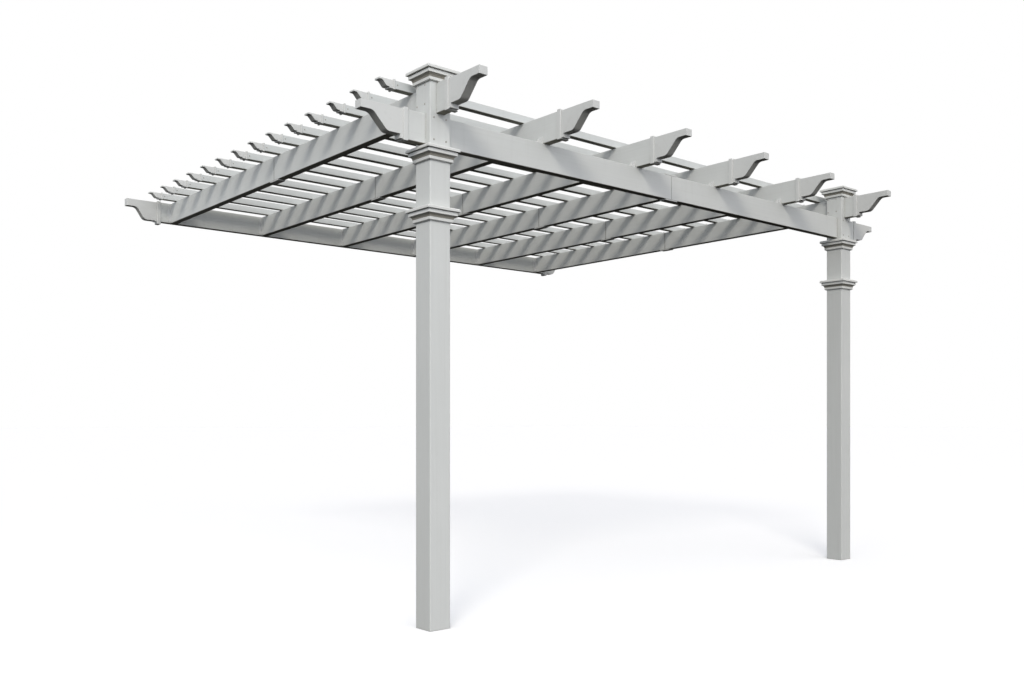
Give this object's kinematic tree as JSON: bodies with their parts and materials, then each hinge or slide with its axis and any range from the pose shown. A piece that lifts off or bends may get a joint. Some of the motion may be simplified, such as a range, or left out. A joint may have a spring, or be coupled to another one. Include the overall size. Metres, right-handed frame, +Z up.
{
  "type": "wall-attached pergola",
  "caption": "Open vinyl pergola on front posts, its rafters carried by a beam and a wall ledger, with purlins across and scroll ends on every member.",
  "frame": {"origin": "on the back face of the ledger, at its middle in length and height, where it meets the wall", "axes": "+X along the wall, +Y into the wall, +Z up; the posts stand on the ground at negative Z"},
  "size_m": [4.704, 3.925, 2.843],
  "materials": {
    "post_vinyl": "satin extruded vinyl",
    "rail_vinyl": "satin extruded vinyl",
    "purlin_vinyl": "satin extruded vinyl",
    "moulded_trim": "satin moulded vinyl",
    "bracket": "white powder coat"
  },
  "bodies": {
    "root": {"left_post": "post_vinyl", "right_post": "post_vinyl", "left_post_cap": "moulded_trim", "right_post_cap": "moulded_trim", "left_upper_collar": "moulded_trim", "right_upper_collar": "moulded_trim", "left_lower_collar": "moulded_trim", "right_lower_collar": "moulded_trim", "front_beam_left_length": "rail_vinyl", "front_beam_right_length": "rail_vinyl", "front_beam_splice": "moulded_trim", "front_beam_left_end_cap": "moulded_trim", "front_beam_right_end_cap": "moulded_trim", "ledger": "rail_vinyl", "ledger_left_end_cap": "moulded_trim", "ledger_right_end_cap": "moulded_trim", "rafter_1": "rail_vinyl", "rafter_2": "rail_vinyl", "rafter_3": "rail_vinyl", "rafter_4": "rail_vinyl", "rafter_5": "rail_vinyl", "rafter_6": "rail_vinyl", "rafter_end_caps": "moulded_trim", "rafter_splices": "moulded_trim", "rafter_brackets": "bracket", "ledger_brackets": "bracket", "purlin_1": "purlin_vinyl", "purlin_2": "purlin_vinyl", "purlin_3": "purlin_vinyl", "purlin_4": "purlin_vinyl", "purlin_5": "purlin_vinyl", "purlin_6": "purlin_vinyl", "purlin_7": "purlin_vinyl", "purlin_8": "purlin_vinyl", "purlin_9": "purlin_vinyl", "purlin_10": "purlin_vinyl", "purlin_11": "purlin_vinyl", "purlin_12": "purlin_vinyl", "purlin_13": "purlin_vinyl", "purlin_14": "purlin_vinyl", "purlin_left_end_caps": "moulded_trim", "purlin_right_end_caps": "moulded_trim"}
  },
  "joints": []
}
